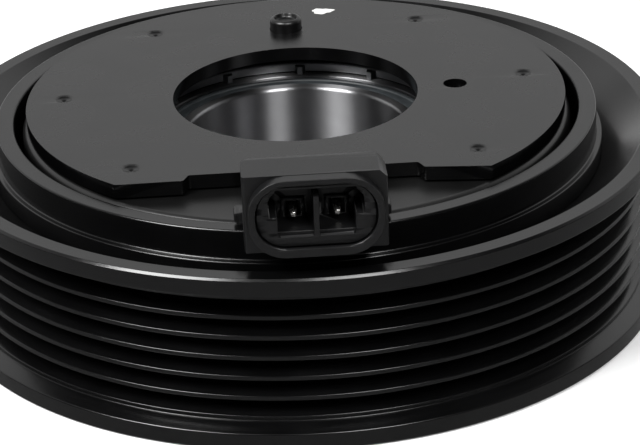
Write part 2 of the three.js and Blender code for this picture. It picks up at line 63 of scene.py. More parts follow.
ARMATURE_BORE_ROUND = 160
COIL_ROUND = 144
BOSS_ROUND = 128
PIN_ROUND = 64
SMALL_ROUND = 40  # facets round a rivet or a small hole
BALL_ROUND = 32
DISH_ROUND = 28
ARC_STEP = math.radians(15)  # longest step of a rounded corner
SHARP = math.radians(38)  # an edge that turns further than this is drawn sharp
NORMAL_WEIGHT = 90
ON_AXIS = 1e-6  # a point nearer to the axis than this lies on it
WELD = 0.002  # points nearer to each other than this become one
PAST = 1  # how far a cutter reaches past what it cuts


# ---------------------------------------------------------------- sizes from the frame
def span(node):
    """A CAD node's lowest and highest corners, in millimetres."""
    low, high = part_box(node)
    return low / MM, high / MM


RIM_HIGH = span("belt_rim")[1]
ROTOR_LOW, ROTOR_HIGH = span("rotor")
PLATE_LOW, PLATE_HIGH = span("mounting_plate")
SHELL_LOW, SHELL_HIGH = span("coil_shell")
INNER_LOW, INNER_HIGH = span("bearing_inner_ring")
OUTER_LOW, OUTER_HIGH = span("bearing_outer_ring")
PIN_LOW, PIN_HIGH = span("locating_pin")
HOUSING_LOW, HOUSING_HIGH = span("connector_housing")
BOSS_LOW, BOSS_HIGH = span("hub_boss")
HUB_LOW, HUB_HIGH = span("hub_plate")
LEAF_LOW, LEAF_HIGH = span("leaf_spring_1")
ARMATURE_LOW, ARMATURE_HIGH = span("armature_plate")

# Belt rim: six PK grooves between two flanges
FLANGE = RIM_HIGH.x
FLANGE_HEIGHT = 2.8
FLANGE_EDGE = 0.4
CREST = FLANGE - FLANGE_HEIGHT
GROOVE_PITCH = 3.56
GROOVES = 6
GROOVE_DEPTH = 3.3
CREST_WIDTH = 0.7
CREST_ROUND = 0.15
FIRST_CREST = 4.4
FLANK_SLOPE = math.tan(math.radians(20))
RIM_GAP = 0.05  # between the rim and the rotor
REAR_FACE = 3.1  # width of the rim's rear face
REAR_MOUTH_DEPTH = 5.4  # of the cone from the rear face down to the rotor
FRONT_FACE = 3.5  # width of the rim's front face
FRONT_CONE_Z = 5  # where the cone from the front face ends
RIM_WALL = 8.4  # from the flange's edge in to the rim's inner wall

# Rotor
DISC_THICKNESS = 5
DISC_BORE = 25.6
POLE_STEP = 1  # the outer pole is this much narrower at its rear end
POLE_STEP_Z = 28
OUTER_POLE_BORE = 48.9
OUTER_POLE_FOOT = 48.6
INNER_POLE = 30.8
SLOT_ROWS = ((35.5, 37.5), (43, 45))  # inner and outer radius
SLOTS_IN_ROW = 4
SLOT_BRIDGE = math.radians(14)  # half of the bridge between two slots
SLOT_CUTS = 24

# Bearing seat in the rotor
SEAT_GAP = 0.1
STAKED_LIP = 26.3
STAKED_LIP_Z = 30.2
LIP_GAP = 0.3  # between the bearing and the lip over it
STAKE_TABS = 12
FIRST_TAB = 0.95 * QUARTER
TAB_TIP = 25.2
TAB_ROOT = 26.6
TAB_TIP_HALF = 0.45
TAB_ROOT_HALF = 1.1
TAB_LIFT = 0.05  # over the bearing
TAB_DROP = 0.5  # under the lip's top
MACHINED_ABOVE = 28.45
MACHINED_WITHIN = 30.75

# Bearing
BEARING_BORE = 19
INNER_RACE_FLOOR = 20.3
OUTER_RING_BORE = 24.8
OUTER_RACE_FLOOR = 25.7
RACE_HALF = 2.2
RACE_FLOOR_HALF = 1
RACE_ROUND = 1.2
SEAL_BORE = 21.5
SEAL_DIP = 0.25  # of the face between the seal's two beads
BALL_CUTS = 16  # facets from the foot of a ball to its top

# Field coil
POT_BORE = 31.3
POT_WALL = 1.7
WINDING_BORE = 34.6
POTTING_BORE = 33.3
LEAD_HOLE_HALF = 1.2
LEAD_HOLE_FRONT = -39.7
LEAD_HOLE_BACK = -37.3
LEAD_HOLE_DEPTH = 3

# Plate
PLATE_TOP = 35.1
PLATE_BORE = 21.24
CHORD_Y = -34.8
CHORD_DROP = 1.1
NOTCH_LEFT = -19.2
NOTCH_RIGHT = 18.2
NOTCH_RUN = 0.9
NOTCH_Y = -32.7
STAKE_RING = 40.3
STAKE_ANGLES = (36.6, 85.6, 135)  # degrees from +Y, to both sides
BREATHER_X = 27.85
BREATHER_RADIUS = 2.05
PLATE_EDGE = 0.45
EDGE_COAT_BELOW = PLATE_TOP - 0.46  # just under the rounded upper edge
PIN_Y = (PIN_LOW.y + PIN_HIGH.y) / 2
PIN_RADIUS = PIN_HIGH.x
PIN_GAP = 0.1
DAB_RING = 39.8
DAB_ANGLE = math.radians(10.5)
DAB_POINTS = 36
DAB_REACH = 1.7

# Connector
CONNECTOR_Z = 39.9
BLOCK_HALF = 11.1
BLOCK_BACK = -53
BLOCK_FRONT = -60.3
BLOCK_LOW = 33.7
BLOCK_HIGH = 46.4
SHROUD_FRONT = HOUSING_LOW.y
SHROUD_HALF = 10.45
SHROUD_HEIGHT = 12.9
SHROUD_CORNER = 5.8
SHROUD_EDGE = 0.75
SHROUD_WALL = (1.05, 0.95, 1.4)  # at its sides, top and bottom
SEAM_WIDTH = 0.32  # groove between the shroud and its liner
SEAM_DEPTH = 0.9
LINER_DEPTH = 0.7
SOCKET_BACK = -55.2
BEVEL = 1.2
SHOULDER_DROP = 1.3
HOUSING_EDGE = 0.4
ARM_HALF = 10.8
ARM_FRONT = -47
ARM_TOP = 36.8
NECK_BACK = -46
LUG_FRONT = -49.4
LUG_BACK = -46.4
LUG_TOP = 35.6
LUG_EDGE = 0.5
TOP_SLOT_HALF = 6.3
TOP_SLOT_BACK = -57.6
TOP_SLOT_LOW = CONNECTOR_Z + 3.3
TOP_SLOT_HIGH = CONNECTOR_Z + 4.7
PIN_SPACING = 6.8
PIN_Z = 38.7
# The way of a terminal through the housing: name, half width, front, back, low, high
TERMINAL_WAY = (
    ("well", 1.3, -56, -54.4, 37.4, 40.0),
    ("leg", 0.95, -55, -53.25, 35.95, 39.6),
    ("run", 0.85, -55.2, -37.6, 34.25, 35.95),
    ("drop", 0.85, -39.4, -37.6, 30, 35.9),
)
TIP_LENGTH = 0.7
TIP_WIDTH = 0.6  # of the pin's own width
TIP_END = 0.3  # vertices nearer to the tip than this are drawn in

# Ledge on a socket's floor, and collar round a pin's root
LEDGE_INNER = 0.35
LEDGE_OUTER = 6.05
LEDGE_START = 1.5  # behind the shroud's front
LEDGE_LOW = CONNECTOR_Z - 3.35
LEDGE_HEIGHT = 0.75
LEDGE_BACK = -55.1
COLLAR_HALF = 1.9
COLLAR_BELOW = 1.7
COLLAR_ABOVE = 1.9
COLLAR_HOLE_HALF = 1.25
COLLAR_HOLE_BELOW = 1.15
COLLAR_HOLE_ABOVE = 1.35
COLLAR_FRONT = -55.6
COLLAR_BACK = -55.1

# Hub side
ARMS = 3
HUB_RIVET_RING = 28
ARMATURE_RIVET_RING = 42
RIVET_HOLE = 2
RIVET_SHANK = 1.7
RIVET_HEAD = 0.9
SPLINE_TEETH = 18
SPLINE_ROOT = 6.9
SPLINE_TIP = 6.2
BOSS_GAP = 0.3
ARM_END = 6  # radius round each rivet
ARM_END_HALF = 1.4  # half of the angle that this end covers, in radians
WAIST = 20
WAIST_HALF = 0.25
LEAF_HALF = 4.6
LEAF_SWEEP = math.radians(52)
LEAF_CLAMP = 5.2  # the leaf stays straight this near to a rivet's centre
LEAF_CUTS = 12
ARMATURE_BORE = 22
ARMATURE_EDGE = 0.3
ARMATURE_CLEARANCE = 3.6  # hole over each of the hub's rivets
ARMATURE_SLOT_INNER = 38.6
ARMATURE_SLOT_OUTER = 40.4
ARMATURE_SLOT_START = 0.3  # radians past the leaf's end
ARMATURE_SLOT_END = 1.7
ARMATURE_SLOT_CUTS = 40
SINK_RADIUS = 3.1
SINK_DEPTH = 1.3


# ---------------------------------------------------------------- mesh helpers
def rounded(corners, closed=True):
    """The points of an outline whose corners are (x, y), or (x, y, radius) if rounded."""
    points = []
    count = len(corners)
    for index, corner in enumerate(corners):
        here = Vector(corner[:2])
        radius = corner[2] if len(corner) > 2 else 0
        if not radius or (not closed and index in (0, count - 1)):
            points.append((here.x, here.y))
            continue
        back = (Vector(corners[index - 1][:2]) - here).normalized()
        ahead = (Vector(corners[(index + 1) % count][:2]) - here).normalized()
        half = back.angle(ahead) / 2
        centre = here + (back + ahead).normalized() * radius / math.sin(half)
        first = here + back * radius / math.tan(half) - centre
        last = here + ahead * radius / math.tan(half) - centre
        turn = first.angle_signed(last)
        steps = max(2, math.ceil(abs(turn) / ARC_STEP))
        start = math.atan2(first.y, first.x)
        for step in range(steps + 1):
            angle = start - turn * step / steps
            x, y = polar(radius, angle)
            points.append((centre.x + x, centre.y + y))
    return points


def arc(radius, start, end, steps, x=0.0, y=0.0):
    """Points along a circle, both ends included."""
    angles = (start + (end - start) * step / steps for step in range(steps + 1))
    return [(x + radius * math.cos(a), y + radius * math.sin(a)) for a in angles]


def ring(radius, x=0.0, y=0.0, steps=ROUND):
    return arc(radius, 0, 2 * math.pi, steps, x, y)[:-1]


def polar(radius, angle):
    return radius * math.cos(angle), radius * math.sin(angle)


def finish_mesh(name, vertices, faces):
    """An object from points in millimetres, facing out and smooth except at its sharp edges."""
    mesh = bpy.data.meshes.new(name)
    mesh.from_pydata([(x * MM, y * MM, z * MM) for x, y, z in vertices], [], faces)
    work = bmesh.new()
    work.from_mesh(mesh)
    bmesh.ops.recalc_face_normals(work, faces=work.faces)
    work.to_mesh(mesh)
    work.free()
    piece = bpy.data.objects.new(name, mesh)
    bpy.context.scene.collection.objects.link(piece)
    smooth(piece)
    return piece


def smooth(piece):
    piece.data.shade_smooth()
    piece.data.set_sharp_from_angle(angle=SHARP)


def turned(name, corners, centre=(0.0, 0.0), steps=ROUND, closed=True):
    """A body turned about Z from a profile of (radius, height) corners.

    An open profile starts and ends on the axis.
    """
    vertices, rows, faces = [], [], []
    for radius, height in rounded(corners, closed):
        if radius < ON_AXIS:
            rows.append([len(vertices)])
            vertices.append((*centre, height))
            continue
        rows.append(range(len(vertices), len(vertices) + steps))
        vertices += [(x, y, height) for x, y in ring(radius, *centre, steps)]
    pairs = list(zip(rows, rows[1:]))
    if closed:
        pairs.append((rows[-1], rows[0]))
    for low, high in pairs:
        for i in range(steps):
            j = (i + 1) % steps
            below = (low[i % len(low)], low[j % len(low)])
            above = (high[j % len(high)], high[i % len(high)])
            face = list(dict.fromkeys(below + above))
            if len(face) > 2:
                faces.append(face)
    piece = finish_mesh(name, vertices, faces)
    weight_normals(piece)
    return piece


def slab(name, loops, low, high, edge=0.0, upright=False, steps=3):
    """A plate with an outline and holes, from one height to another, its edges rounded.

    An upright slab takes its outline in X and Z and runs along Y.
    """
    flat = [[Vector((x, y, 0)) for x, y in loop] for loop in loops]
    triangles = tessellate_polygon(flat)
    points = [point for loop in loops for point in loop]
    count = len(points)
    swap = (lambda x, y, h: (x, h, y)) if upright else (lambda x, y, h: (x, y, h))
    vertices = [swap(x, y, h) for h in (low, high) for x, y in points]
    faces = [tuple(triangle) for triangle in triangles]
    faces += [tuple(i + count for i in reversed(triangle)) for triangle in triangles]
    start = 0
    for loop in loops:
        size = len(loop)
        for i in range(size):
            a, b = start + i, start + (i + 1) % size
            faces.append((a, b, b + count, a + count))
        start += size
    piece = finish_mesh(name, vertices, faces)
    if edge:
        soften(piece, edge, steps)
    return piece


def soften(piece, width, steps=3, angle=50):
    """Rounds the sharp edges of a piece, as geometry."""
    bevel = piece.modifiers.new("edges", "BEVEL")
    bevel.width = width * MM
    bevel.segments = steps
    bevel.limit_method = "ANGLE"
    bevel.angle_limit = math.radians(angle)
    bevel.harden_normals = False
    bevel.use_clamp_overlap = True
    apply_modifiers(piece)
    smooth(piece)
    weight_normals(piece)


def weight_normals(piece):
    weight = piece.modifiers.new("normals", "WEIGHTED_NORMAL")
    weight.keep_sharp = True
    weight.weight = NORMAL_WEIGHT


def apply_modifiers(piece):
    """Puts the mesh that the modifiers make in the place of the piece's own."""
    bpy.context.view_layer.update()
    seen = piece.evaluated_get(bpy.context.evaluated_depsgraph_get())
    mesh = bpy.data.meshes.new_from_object(seen)
    piece.modifiers.clear()
    old = piece.data
    piece.data = mesh
    mesh.name = piece.name
    bpy.data.meshes.remove(old)


def combine(piece, others, operation="DIFFERENCE"):
    """Cuts the other meshes from a piece, or joins them to it, and removes them."""
    piece.modifiers.clear()
    for other in others:
        other.modifiers.clear()
        step = piece.modifiers.new("combine", "BOOLEAN")
        step.operation = operation
        step.object = other
        step.solver = "EXACT"
    apply_modifiers(piece)
    for other in others:
        bpy.data.objects.remove(other)
    weld(piece)


def weld(piece):
    """Joins the doubled points that a boolean leaves."""
    work = bmesh.new()
    work.from_mesh(piece.data)
    bmesh.ops.remove_doubles(work, verts=work.verts, dist=WELD * MM)
    bmesh.ops.dissolve_degenerate(work, edges=work.edges, dist=WELD * MM)
    work.to_mesh(piece.data)
    work.free()
    smooth(piece)
    weight_normals(piece)


def brick(name, low, high, edge=0.0):
    """A box from its lowest to its highest corner."""
    outline = [(low[0], low[1]), (high[0], low[1]), (high[0], high[1]), (low[0], high[1])]
    return slab(name, [outline], low[2], high[2], edge)


def fit_out(piece, body, slot, material, *nodes):
    """Gives a piece its body, if it has one, and its material, and hides the CAD nodes it replaces.
    The slot is not used.
    """
    piece.data.materials.clear()
    piece.data.materials.append(material)
    if body:
        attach(piece, body)
    if nodes:
        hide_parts(*nodes)


def recoat(piece, material, picks):
    """Gives a second material to the faces whose centre, in millimetres, picks accepts."""
    piece.data.materials.append(material)
    for face in piece.data.polygons:
        if picks(face.center / MM):
            face.material_index = 1


# ---------------------------------------------------------------- materials
NOISE_LOW = 0.3  # most of a noise texture's values lie between these two
NOISE_HIGH = 0.7


class Surface:
    """A Principled material whose detail comes from nodes in the piece's own coordinates."""

    def __init__(self, name, **values):
        self.material = bpy.data.materials.new(name)
        self.material.use_nodes = True
        self.tree = self.material.node_tree
        self.shader = self.tree.nodes["Principled BSDF"]
        for socket, value in values.items():
            self.shader.inputs[socket.replace("_", " ")].default_value = value
        self.place = self.tree.nodes.new("ShaderNodeTexCoord").outputs["Object"]

    def node(self, kind, **settings):
        made = self.tree.nodes.new(kind)
        for key, value in settings.items():
            setattr(made, key, value)
        return made

    def link(self, source, target):
        self.tree.links.new(source, target)

    def noise(self, size, detail=3.0, roughness=0.55, stretch=(1, 1, 1)):
        """Noise whose grains are about size millimetres across."""
        mapping = self.node("ShaderNodeMapping")
        mapping.inputs["Scale"].default_value = stretch
        self.link(self.place, mapping.inputs["Vector"])
        made = self.node("ShaderNodeTexNoise")
        made.inputs["Scale"].default_value = 1 / (size * MM)
        made.inputs["Detail"].default_value = detail
        made.inputs["Roughness"].default_value = roughness
        self.link(mapping.outputs["Vector"], made.inputs["Vector"])
        return made.outputs["Fac"]

    def radius(self):
        """The distance from the turning axis, and the height along it."""
        split = self.node("ShaderNodeSeparateXYZ")
        self.link(self.place, split.inputs[0])
        flat = self.node("ShaderNodeCombineXYZ")
        self.link(split.outputs["X"], flat.inputs["X"])
        self.link(split.outputs["Y"], flat.inputs["Y"])
        length = self.node("ShaderNodeVectorMath", operation="LENGTH")
        self.link(flat.outputs[0], length.inputs[0])
        return length.outputs["Value"], split.outputs["Z"]

    def turning_lines(self, pitch):
        """Fine rings left by a lathe, pitch millimetres apart, on faces and on walls."""
        radius, height = self.radius()
        both = self.node("ShaderNodeCombineXYZ")
        self.link(radius, both.inputs["X"])
        self.link(height, both.inputs["Y"])
        made = self.node("ShaderNodeTexNoise")
        made.inputs["Scale"].default_value = 1 / (pitch * MM)
        made.inputs["Detail"].default_value = 2.0
        self.link(both.outputs[0], made.inputs["Vector"])
        return made.outputs["Fac"]

    def spread(self, factor, low, high):
        """A noise stretched over low to high."""
        made = self.node("ShaderNodeMapRange")
        made.inputs["From Min"].default_value = NOISE_LOW
        made.inputs["From Max"].default_value = NOISE_HIGH
        made.inputs["To Min"].default_value = low
        made.inputs["To Max"].default_value = high
        self.link(factor, made.inputs["Value"])
        return made.outputs["Result"]

    def tint(self, factor, dark, light):
        """A colour that runs from dark to light with a noise."""
        ramp = self.node("ShaderNodeValToRGB")
        ramp.color_ramp.elements[0].position = NOISE_LOW
        ramp.color_ramp.elements[0].color = (*dark, 1)
        ramp.color_ramp.elements[1].position = NOISE_HIGH
        ramp.color_ramp.elements[1].color = (*light, 1)
        self.link(factor, ramp.inputs["Fac"])
        return ramp.outputs["Color"]

    def colour(self, output):
        self.link(output, self.shader.inputs["Base Color"])

    def roughness(self, output):
        self.link(output, self.shader.inputs["Roughness"])

    def bumps(self, *layers):
        """Stacked bumps: (height output, depth in millimetres, strength)."""
        previous = None
        for height, depth, strength in layers:
            bump = self.node("ShaderNodeBump")
            bump.inputs["Strength"].default_value = strength
            bump.inputs["Distance"].default_value = depth * MM
            self.link(height, bump.inputs["Height"])
            if previous:
                self.link(previous.outputs["Normal"], bump.inputs["Normal"])
            previous = bump
        self.link(previous.outputs["Normal"], self.shader.inputs["Normal"])

    def turned_grain(self, amount):
        """Stretches highlights across the turning lines."""
        self.shader.inputs["Anisotropic"].default_value = amount
        self.shader.inputs["Anisotropic Rotation"].default_value = 0.25
        tangent = self.node("ShaderNodeTangent", direction_type="RADIAL", axis="Z")
        self.link(tangent.outputs["Tangent"], self.shader.inputs["Tangent"])


def shade(colour, factor):
    return tuple(value * factor for value in colour)


def black_coat(name, base, rough, texture=0.6):
    """Black paint on steel: a little orange peel, faint haze and fine dust."""
    coat = Surface(name, IOR=1.5)
    haze = coat.noise(9, 4)
    dust = coat.noise(0.35, 2)
    coat.colour(coat.tint(haze, shade(base, 0.8), shade(base, 1.35)))
    coat.roughness(coat.spread(haze, rough * 0.88, rough * 1.12))
    coat.bumps((coat.noise(1.6, 2), 0.02, texture), (dust, 0.004, texture))
    return coat.material


def ground_steel(name, base, rough, grain):
    """Bare steel off a lathe or grinder; the grain stretches its highlights."""
    steel = Surface(name, Metallic=1.0)
    lines = steel.turning_lines(0.45)
    stain = steel.noise(5, 4)
    steel.colour(steel.tint(stain, shade(base, 0.88), base))
    steel.roughness(steel.spread(lines, rough * 0.98, rough * 1.04))
    steel.bumps((stain, 0.01, 0.1))
    steel.turned_grain(grain)
    return steel.material


def phosphated_steel(name, base, rough):
    steel = Surface(name, Metallic=0.6)
    grain = steel.noise(0.5, 5, 0.7)
    patches = steel.noise(7, 4)
    steel.colour(steel.tint(patches, shade(base, 0.7), base))
    steel.roughness(steel.spread(grain, rough * 0.85, rough * 1.15))
    steel.bumps((grain, 0.012, 0.5))
    return steel.material


def moulded(name, base, rough, grain=0.25, depth=0.012):
    """Moulded plastic with a spark-eroded grain."""
    plastic = Surface(name, IOR=1.4)
    texture = plastic.noise(grain, 3, 0.6)
    flow = plastic.noise(4, 3)
    plastic.colour(plastic.tint(flow, shade(base, 0.85), shade(base, 1.15)))
    plastic.roughness(plastic.spread(texture, rough * 0.9, rough * 1.1))
    plastic.bumps((texture, depth, 0.6))
    return plastic.material


def seal_rubber():
    rubber = Surface("nitrile_rubber", IOR=1.45)
    lines = rubber.turning_lines(0.3)
    bloom = rubber.noise(2.5, 4)
    rubber.colour(rubber.tint(bloom, (0.018, 0.021, 0.023), (0.032, 0.037, 0.04)))
    rubber.roughness(rubber.spread(bloom, 0.42, 0.58))
    rubber.bumps((lines, 0.01, 0.4))
    return rubber.material


def wound_copper():
    """Enamelled wire in even turns: ridges one wire apart, up the winding."""
    wire_pitch = 0.7
    copper = Surface("enamelled_copper", Metallic=1.0)
    height = copper.radius()[1]
    wire = copper.node("ShaderNodeMath", operation="MULTIPLY")
    wire.inputs[1].default_value = math.tau / (wire_pitch * MM)
    copper.link(height, wire.inputs[0])
    ridges = copper.node("ShaderNodeMath", operation="SINE")
    copper.link(wire.outputs[0], ridges.inputs[0])
    patina = copper.noise(3, 3)
    copper.colour(copper.tint(patina, (0.42, 0.14, 0.06), (0.62, 0.25, 0.12)))
    copper.roughness(copper.spread(patina, 0.25, 0.4))
    copper.bumps((ridges.outputs[0], 0.1, 0.8))
    return copper.material


def tin_plate():
    tin = Surface("tin_plate", Metallic=1.0)
    grain = tin.noise(0.2, 3, 0.6, (1, 0.15, 1))
    tin.colour(tin.tint(grain, (0.62, 0.61, 0.58), (0.8, 0.79, 0.76)))
    tin.roughness(tin.spread(grain, 0.2, 0.34))
    tin.bumps((grain, 0.004, 0.5))
    return tin.material


def white_dab_surface():
    # A light grey to white surface with faint streaks, used for the dab near the pin.
    paint = Surface("white_dab_material", IOR=1.5)
    streaks = paint.noise(0.6, 4)
    paint.colour(paint.tint(streaks, (0.62, 0.62, 0.6), (0.85, 0.85, 0.83)))
    paint.roughness(paint.spread(streaks, 0.4, 0.6))
    paint.bumps((streaks, 0.02, 0.6))
    return paint.material


BLACK = (0.0016, 0.0016, 0.0017)
PLATE_COAT = black_coat("plate_coat", (0.0022, 0.0022, 0.0023), rough=0.26, texture=0.35)
PIN_COAT = black_coat("pin_coat", BLACK, rough=0.36, texture=0.3)
EDGE_COAT = black_coat("edge_coat", BLACK, rough=0.13, texture=0.3)
PULLEY_COAT = black_coat("pulley_coat", BLACK, rough=0.2, texture=0.3)
COIL_COAT = black_coat("coil_coat", (0.003, 0.003, 0.003), rough=0.34)
BEARING_STEEL = ground_steel("bearing_steel", (0.39, 0.39, 0.4), rough=0.31, grain=1.0)
MACHINED_STEEL = ground_steel("machined_steel", (0.3, 0.3, 0.31), rough=0.34, grain=0.9)
SEAL_RUBBER = seal_rubber()
CONNECTOR_PLASTIC = moulded("connector_plastic", (0.005, 0.005, 0.0053), rough=0.37)
CAGE_PLASTIC = moulded("cage_plastic", (0.5, 0.4, 0.24), rough=0.5)
BOBBIN_PLASTIC = moulded("bobbin_plastic", (0.45, 0.38, 0.26), rough=0.5)
POTTING_RESIN = moulded("potting_resin", (0.03, 0.026, 0.022), rough=0.35, grain=1.2, depth=0.03)
TIN = tin_plate()
COPPER = wound_copper()
HUB_STEEL = phosphated_steel("hub_steel", (0.09, 0.09, 0.095), rough=0.45)
ARMATURE_STEEL = ground_steel("armature_steel", (0.3, 0.3, 0.31), rough=0.35, grain=0.5)
SPRING_STEEL = ground_steel("spring_steel", (0.42, 0.41, 0.39), rough=0.3, grain=0.0)
WHITE_DAB = white_dab_surface()


# ---------------------------------------------------------------- pulley
def belt_rim():
    """The grooved rim. Its inside is a cone at each end and a wall that sits on the rotor."""
    half = CREST_WIDTH / 2
    floor = GROOVE_PITCH / 2 - half - GROOVE_DEPTH * FLANK_SLOPE
    flank = (FLANGE - CREST) * FLANK_SLOPE
    last = FIRST_CREST + GROOVE_PITCH * GROOVES
    seat = ROTOR_HIGH.x + RIM_GAP
    channel = FLANGE - RIM_WALL
    corners = [
        (FLANGE - FLANGE_EDGE, 0, 0.15),
        (FLANGE, FLANGE_EDGE, 0.15),
        (FLANGE, FIRST_CREST - half - flank, 0.3),
        (CREST, FIRST_CREST - half, CREST_ROUND),
    ]
    for groove in range(GROOVES):
        start = FIRST_CREST + GROOVE_PITCH * groove
        middle = start + GROOVE_PITCH / 2
        corners += [
            (CREST, start + half, CREST_ROUND),
            (CREST - GROOVE_DEPTH, middle - floor, 0.2),
            (CREST - GROOVE_DEPTH, middle + floor, 0.2),
            (CREST, start + GROOVE_PITCH - half, CREST_ROUND),
        ]
    corners += [
        (CREST, last + half, CREST_ROUND),
        (FLANGE, last + half + flank, 0.35),
        (FLANGE, RIM_HIGH.z - FLANGE_EDGE, 0.2),
        (FLANGE - FLANGE_EDGE, RIM_HIGH.z, 0.15),
        (FLANGE - REAR_FACE, RIM_HIGH.z, 0.4),
        (seat, RIM_HIGH.z - REAR_MOUTH_DEPTH),
        (seat, ROTOR_LOW.z + 1),
        (channel, ROTOR_LOW.z, 0.4),
        (channel, FRONT_CONE_Z, 1.5),
        (FLANGE - FRONT_FACE, 0, 0.5),
    ]
    rim = turned("pulley_rim", corners)
    fit_out(rim, "pulley", "pulley_coat", PULLEY_COAT, "belt_rim")


def arc_slot(inner, outer, start, end, low, high):
    outline = arc(outer, start, end, SLOT_CUTS) + arc(inner, end, start, SLOT_CUTS)
    return slab("slot", [outline], low, high)


def stake_tab(angle):
    """Metal pushed over the bearing's edge by a punch."""
    across = (-math.sin(angle), math.cos(angle))
    corners = (
        (TAB_TIP, -TAB_TIP_HALF),
        (TAB_TIP, TAB_TIP_HALF),
        (TAB_ROOT, TAB_ROOT_HALF),
        (TAB_ROOT, -TAB_ROOT_HALF),
    )
    outline = []
    for radius, half in corners:
        x, y = polar(radius, angle)
        outline.append((x + across[0] * half, y + across[1] * half))
    return slab("stake_tab", [outline], OUTER_HIGH.z + TAB_LIFT, STAKED_LIP_Z - TAB_DROP)


def rotor_body():
    """Friction disc with its inner and outer pole, staked over the bearing."""
    front, rear = ROTOR_LOW.z, ROTOR_HIGH.z
    disc = front + DISC_THICKNESS
    wide, narrow = ROTOR_HIGH.x, ROTOR_HIGH.x - POLE_STEP
    seat = OUTER_HIGH.x + SEAT_GAP
    lip = OUTER_HIGH.z + LIP_GAP
    corners = [
        (DISC_BORE, front, 0.3),
        (wide, front, 0.4),
        (wide, POLE_STEP_Z, 0.25),
        (narrow, POLE_STEP_Z + 0.05, 0.3),
        (narrow, rear, 0.35),
        (OUTER_POLE_BORE, rear, 0.5),
        (OUTER_POLE_FOOT, disc, 0.8),
        (INNER_POLE, disc, 0.8),
        (INNER_POLE, STAKED_LIP_Z, 0.3),
        (STAKED_LIP, STAKED_LIP_Z, 0.5),
        (STAKED_LIP, lip),
        (seat, lip),
        (seat, OUTER_LOW.z - SEAT_GAP),
        (DISC_BORE, OUTER_LOW.z - SEAT_GAP),
    ]
    body = turned("rotor_body", corners)
    slots = []
    for row, (inner, outer) in enumerate(SLOT_ROWS):
        for index in range(SLOTS_IN_ROW):
            start = QUARTER * (index + row / 2)
            ends = (start + SLOT_BRIDGE, start + QUARTER - SLOT_BRIDGE)
            slots.append(arc_slot(inner, outer, *ends, front - PAST, disc + PAST))
    combine(body, slots)
    turns = [math.tau * index / STAKE_TABS for index in range(STAKE_TABS)]
    combine(body, [stake_tab(turn + FIRST_TAB) for turn in turns], "UNION")
    fit_out(body, "pulley", "pulley_coat", PULLEY_COAT, "rotor")
    recoat(body, MACHINED_STEEL, on_pole_end)


def on_pole_end(at):
    """Whether a place on the rotor is on the machined end of its inner pole."""
    return at.z > MACHINED_ABOVE and math.hypot(at.x, at.y) < MACHINED_WITHIN


# ---------------------------------------------------------------- bearing
def bearing():
    middle = (INNER_LOW.z + INNER_HIGH.z) / 2
    inner = [
        (BEARING_BORE, INNER_LOW.z, 0.5),
        (INNER_HIGH.x, INNER_LOW.z, 0.3),
        (INNER_HIGH.x, middle - RACE_HALF),
        (INNER_RACE_FLOOR, middle - RACE_FLOOR_HALF, RACE_ROUND),
        (INNER_RACE_FLOOR, middle + RACE_FLOOR_HALF, RACE_ROUND),
        (INNER_HIGH.x, middle + RACE_HALF),
        (INNER_HIGH.x, INNER_HIGH.z, 0.3),
        (BEARING_BORE, INNER_HIGH.z, 0.6),
    ]
    race = turned("inner_race", inner)
    fit_out(race, "stator", "bearing_steel", BEARING_STEEL, "bearing_inner_ring")
    outer = [
        (OUTER_RING_BORE, OUTER_LOW.z, 0.2),
        (OUTER_HIGH.x, OUTER_LOW.z, 0.5),
        (OUTER_HIGH.x, OUTER_HIGH.z, 0.5),
        (OUTER_RING_BORE, OUTER_HIGH.z, 0.2),
        (OUTER_RING_BORE, middle + RACE_HALF),
        (OUTER_RACE_FLOOR, middle + RACE_FLOOR_HALF, RACE_ROUND),
        (OUTER_RACE_FLOOR, middle - RACE_FLOOR_HALF, RACE_ROUND),
        (OUTER_RING_BORE, middle - RACE_HALF),
    ]
    race = turned("outer_race", outer)
    fit_out(race, "pulley", "bearing_steel", BEARING_STEEL, "bearing_outer_ring")


def bearing_seal(name, node, outward):
    """A seal with a bead at each edge; outward is 1 at the rear and -1 at the front."""
    low, high = span(node)
    middle = (low.z + high.z) / 2
    half = (high.z - low.z) / 2
    base, face = middle - outward * half, middle + outward * half
    dip = face - outward * SEAL_DIP
    inner, outer = SEAL_BORE, high.x
    corners = [
        (inner, base, 0.1),
        (outer, base, 0.1),
        (outer, face, 0.15),
        (outer - 0.7, face, 0.1),
        (outer - 0.9, dip, 0.1),
        (inner + 1.1, dip, 0.1),
        (inner + 0.9, face, 0.12),
        (inner, face - outward * 0.1, 0.15),
    ]
    fit_out(turned(name, corners), "pulley", "seal_rubber", SEAL_RUBBER, node)


# ---------------------------------------------------------------- field coil
def coil_pot():
    top = SHELL_HIGH.z
    corners = [
        (POT_BORE, SHELL_LOW.z, 0.2),
        (POT_BORE + POT_WALL, SHELL_LOW.z, 0.2),
        (POT_BORE + POT_WALL, top - POT_WALL, 0.6),
        (SHELL_HIGH.x - POT_WALL, top - POT_WALL, 0.6),
        (SHELL_HIGH.x - POT_WALL, SHELL_LOW.z, 0.2),
        (SHELL_HIGH.x, SHELL_LOW.z, 0.2),
        (SHELL_HIGH.x, top, 1.3),
        (POT_BORE, top, 0.8),
    ]
    shell = turned("coil_pot", corners)
    holes = []
    for side in (-1, 1):
        x = side * PIN_SPACING / 2
        low = (x - LEAD_HOLE_HALF, LEAD_HOLE_FRONT, top - LEAD_HOLE_DEPTH)
        high = (x + LEAD_HOLE_HALF, LEAD_HOLE_BACK, top + PAST)
        holes.append(brick("hole", low, high))
    combine(shell, holes)
    fit_out(shell, "stator", "coil_steel", COIL_COAT, "coil_shell")


